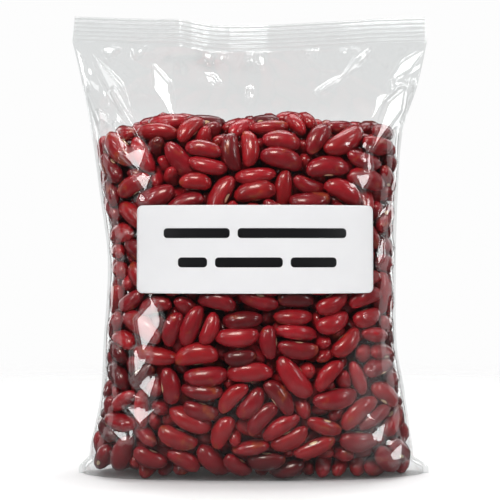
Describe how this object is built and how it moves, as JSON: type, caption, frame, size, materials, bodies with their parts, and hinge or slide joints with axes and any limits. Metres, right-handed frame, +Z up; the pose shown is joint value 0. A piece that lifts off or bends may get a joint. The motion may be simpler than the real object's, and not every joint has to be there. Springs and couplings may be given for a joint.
{
  "type": "bag of dried beans",
  "caption": "Clear film pillow bag of dried red kidney beans, standing up, with a ribbed top seal, empty film above the beans and a blank label on the front.",
  "frame": {"origin": "on the floor under the middle of the bag, in the flat face that the bag stands on", "axes": "+Z up towards the top seal, +X across the front to the viewer's right, -Y out of the front with the label"},
  "size_m": [0.1678, 0.0713, 0.2144],
  "materials": {
    "bean_skin": "glossy dark red bean skins",
    "clear_film": "clear glossy film",
    "label_paper": "smooth satin white label"
  },
  "bodies": {
    "root": {"beans": "bean_skin", "bag": "clear_film", "label": "label_paper"}
  },
  "joints": []
}
